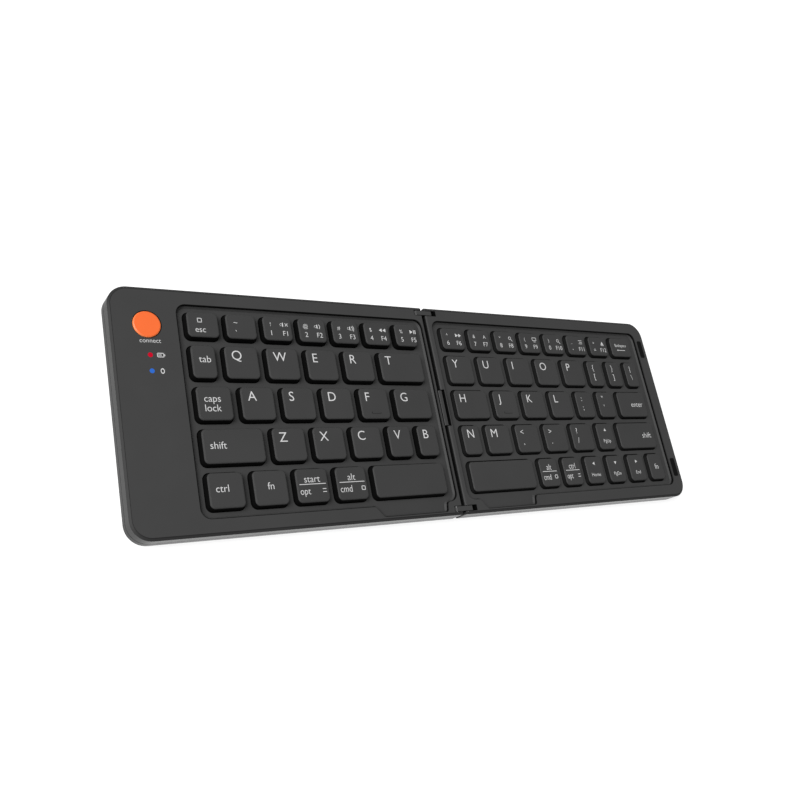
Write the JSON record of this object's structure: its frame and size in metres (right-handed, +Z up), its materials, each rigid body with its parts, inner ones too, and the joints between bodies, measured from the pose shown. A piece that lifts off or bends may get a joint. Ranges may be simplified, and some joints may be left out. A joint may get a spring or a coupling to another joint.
{
  "type": "folding keyboard",
  "caption": "Pocket keyboard that folds in half on link hinges, opened flat, with round-cornered scissor keys in sunken wells and an orange connect button.",
  "frame": {"origin": "middle of the footprint of the opened keyboard, on the surface that its feet stand on", "axes": "+X to the right along the keyboard, +Y away from the typist, +Z up"},
  "size_m": [0.292, 0.0978, 0.0102],
  "materials": {
    "case_shell": "fine satin, graphite grey",
    "top_frame": "fine matte grain, charcoal",
    "keycap": "fine matte grain, charcoal",
    "plate": "rolled sheet",
    "film": "printed film",
    "dome": "moulded silicone",
    "lift": "moulded, matte",
    "battery": "foil pouch",
    "board": "lacquered laminate",
    "port": "drawn sleeve, bright",
    "button": "satin orange",
    "red_light": "clear pipe lit red",
    "blue_light": "clear pipe lit blue",
    "hinge_link": "satin black",
    "pin": "ground",
    "tongue": "satin black",
    "ribbon": "printed film, amber",
    "pad": "matte black",
    "foot": "matte black",
    "screw": "blackened"
  },
  "bodies": {
    "left_half": {"left_bottom_shell": "case_shell", "left_top_frame": "top_frame", "left_support_plate": "plate", "left_membrane": "film", "left_domes": "dome", "left_scissor_lifts": "lift", "battery": "battery", "control_board": "board", "charge_port": "port", "power_light": "red_light", "link_light": "blue_light", "cable_tongue": "tongue", "ribbon_cable": "ribbon", "left_feet": "foot", "left_screws": "screw"},
    "hinge_links": {"hinge_links": "hinge_link", "hinge_pins": "pin"},
    "right_half": {"right_bottom_shell": "case_shell", "right_top_frame": "top_frame", "right_support_plate": "plate", "right_membrane": "film", "right_domes": "dome", "right_scissor_lifts": "lift", "rest_pads": "pad", "right_feet": "foot", "right_screws": "screw"},
    "connect_button": {"connect_button": "button"},
    "q_key": {"q_key": "keycap"},
    "w_key": {"w_key": "keycap"},
    "e_key": {"e_key": "keycap"},
    "r_key": {"r_key": "keycap"},
    "t_key": {"t_key": "keycap"},
    "a_key": {"a_key": "keycap"},
    "s_key": {"s_key": "keycap"},
    "d_key": {"d_key": "keycap"},
    "f_key": {"f_key": "keycap"},
    "g_key": {"g_key": "keycap"},
    "z_key": {"z_key": "keycap"},
    "x_key": {"x_key": "keycap"},
    "c_key": {"c_key": "keycap"},
    "v_key": {"v_key": "keycap"},
    "b_key": {"b_key": "keycap"},
    "left_space_key": {"left_space_key": "keycap"},
    "y_key": {"y_key": "keycap"},
    "u_key": {"u_key": "keycap"},
    "i_key": {"i_key": "keycap"},
    "o_key": {"o_key": "keycap"},
    "p_key": {"p_key": "keycap"},
    "h_key": {"h_key": "keycap"},
    "j_key": {"j_key": "keycap"},
    "k_key": {"k_key": "keycap"},
    "l_key": {"l_key": "keycap"},
    "n_key": {"n_key": "keycap"},
    "m_key": {"m_key": "keycap"},
    "right_space_key": {"right_space_key": "keycap"},
    "left_number_keys": {"left_number_keys": "keycap"},
    "left_side_keys": {"left_side_keys": "keycap"},
    "right_number_keys": {"right_number_keys": "keycap"},
    "symbol_keys": {"symbol_keys": "keycap"},
    "right_side_keys": {"right_side_keys": "keycap"}
  },
  "joints": [
    {"name": "link_fold", "type": "hinge", "parent": "left_half", "child": "hinge_links", "pos_m": [-0.004, 0, 0.0068], "axis": [0, -1, 0], "range_deg": [0, 90]},
    {"name": "half_fold", "type": "hinge", "parent": "hinge_links", "child": "right_half", "pos_m": [0.00185, 0, 0.0068], "axis": [0, -1, 0], "range_deg": [0, 90]},
    {"name": "connect_button_press", "type": "slide", "parent": "left_half", "child": "connect_button", "axis": [0, 0, -1], "range_m": [0, 0.0006], "stiffness_N_per_m": 1500},
    {"name": "q_key_press", "type": "slide", "parent": "left_half", "child": "q_key", "axis": [0, 0, -1], "range_m": [0, 0.0015], "stiffness_N_per_m": 400},
    {"name": "w_key_press", "type": "slide", "parent": "left_half", "child": "w_key", "axis": [0, 0, -1], "range_m": [0, 0.0015], "stiffness_N_per_m": 400},
    {"name": "e_key_press", "type": "slide", "parent": "left_half", "child": "e_key", "axis": [0, 0, -1], "range_m": [0, 0.0015], "stiffness_N_per_m": 400},
    {"name": "r_key_press", "type": "slide", "parent": "left_half", "child": "r_key", "axis": [0, 0, -1], "range_m": [0, 0.0015], "stiffness_N_per_m": 400},
    {"name": "t_key_press", "type": "slide", "parent": "left_half", "child": "t_key", "axis": [0, 0, -1], "range_m": [0, 0.0015], "stiffness_N_per_m": 400},
    {"name": "a_key_press", "type": "slide", "parent": "left_half", "child": "a_key", "axis": [0, 0, -1], "range_m": [0, 0.0015], "stiffness_N_per_m": 400},
    {"name": "s_key_press", "type": "slide", "parent": "left_half", "child": "s_key", "axis": [0, 0, -1], "range_m": [0, 0.0015], "stiffness_N_per_m": 400},
    {"name": "d_key_press", "type": "slide", "parent": "left_half", "child": "d_key", "axis": [0, 0, -1], "range_m": [0, 0.0015], "stiffness_N_per_m": 400},
    {"name": "f_key_press", "type": "slide", "parent": "left_half", "child": "f_key", "axis": [0, 0, -1], "range_m": [0, 0.0015], "stiffness_N_per_m": 400},
    {"name": "g_key_press", "type": "slide", "parent": "left_half", "child": "g_key", "axis": [0, 0, -1], "range_m": [0, 0.0015], "stiffness_N_per_m": 400},
    {"name": "z_key_press", "type": "slide", "parent": "left_half", "child": "z_key", "axis": [0, 0, -1], "range_m": [0, 0.0015], "stiffness_N_per_m": 400},
    {"name": "x_key_press", "type": "slide", "parent": "left_half", "child": "x_key", "axis": [0, 0, -1], "range_m": [0, 0.0015], "stiffness_N_per_m": 400},
    {"name": "c_key_press", "type": "slide", "parent": "left_half", "child": "c_key", "axis": [0, 0, -1], "range_m": [0, 0.0015], "stiffness_N_per_m": 400},
    {"name": "v_key_press", "type": "slide", "parent": "left_half", "child": "v_key", "axis": [0, 0, -1], "range_m": [0, 0.0015], "stiffness_N_per_m": 400},
    {"name": "b_key_press", "type": "slide", "parent": "left_half", "child": "b_key", "axis": [0, 0, -1], "range_m": [0, 0.0015], "stiffness_N_per_m": 400},
    {"name": "left_space_key_press", "type": "slide", "parent": "left_half", "child": "left_space_key", "axis": [0, 0, -1], "range_m": [0, 0.0015], "stiffness_N_per_m": 400},
    {"name": "y_key_press", "type": "slide", "parent": "right_half", "child": "y_key", "axis": [0, 0, -1], "range_m": [0, 0.0015], "stiffness_N_per_m": 400},
    {"name": "u_key_press", "type": "slide", "parent": "right_half", "child": "u_key", "axis": [0, 0, -1], "range_m": [0, 0.0015], "stiffness_N_per_m": 400},
    {"name": "i_key_press", "type": "slide", "parent": "right_half", "child": "i_key", "axis": [0, 0, -1], "range_m": [0, 0.0015], "stiffness_N_per_m": 400},
    {"name": "o_key_press", "type": "slide", "parent": "right_half", "child": "o_key", "axis": [0, 0, -1], "range_m": [0, 0.0015], "stiffness_N_per_m": 400},
    {"name": "p_key_press", "type": "slide", "parent": "right_half", "child": "p_key", "axis": [0, 0, -1], "range_m": [0, 0.0015], "stiffness_N_per_m": 400},
    {"name": "h_key_press", "type": "slide", "parent": "right_half", "child": "h_key", "axis": [0, 0, -1], "range_m": [0, 0.0015], "stiffness_N_per_m": 400},
    {"name": "j_key_press", "type": "slide", "parent": "right_half", "child": "j_key", "axis": [0, 0, -1], "range_m": [0, 0.0015], "stiffness_N_per_m": 400},
    {"name": "k_key_press", "type": "slide", "parent": "right_half", "child": "k_key", "axis": [0, 0, -1], "range_m": [0, 0.0015], "stiffness_N_per_m": 400},
    {"name": "l_key_press", "type": "slide", "parent": "right_half", "child": "l_key", "axis": [0, 0, -1], "range_m": [0, 0.0015], "stiffness_N_per_m": 400},
    {"name": "n_key_press", "type": "slide", "parent": "right_half", "child": "n_key", "axis": [0, 0, -1], "range_m": [0, 0.0015], "stiffness_N_per_m": 400},
    {"name": "m_key_press", "type": "slide", "parent": "right_half", "child": "m_key", "axis": [0, 0, -1], "range_m": [0, 0.0015], "stiffness_N_per_m": 400},
    {"name": "right_space_key_press", "type": "slide", "parent": "right_half", "child": "right_space_key", "axis": [0, 0, -1], "range_m": [0, 0.0015], "stiffness_N_per_m": 400},
    {"name": "left_number_keys_press", "type": "slide", "parent": "left_half", "child": "left_number_keys", "axis": [0, 0, -1], "range_m": [0, 0.0015], "stiffness_N_per_m": 2800},
    {"name": "left_side_keys_press", "type": "slide", "parent": "left_half", "child": "left_side_keys", "axis": [0, 0, -1], "range_m": [0, 0.0015], "stiffness_N_per_m": 2800},
    {"name": "right_number_keys_press", "type": "slide", "parent": "right_half", "child": "right_number_keys", "axis": [0, 0, -1], "range_m": [0, 0.0015], "stiffness_N_per_m": 3200},
    {"name": "symbol_keys_press", "type": "slide", "parent": "right_half", "child": "symbol_keys", "axis": [0, 0, -1], "range_m": [0, 0.0015], "stiffness_N_per_m": 3200},
    {"name": "right_side_keys_press", "type": "slide", "parent": "right_half", "child": "right_side_keys", "axis": [0, 0, -1], "range_m": [0, 0.0015], "stiffness_N_per_m": 3600}
  ],
  "couplings": [
    {"joint": "link_fold", "follows": "half_fold", "ratio": 1}
  ]
}
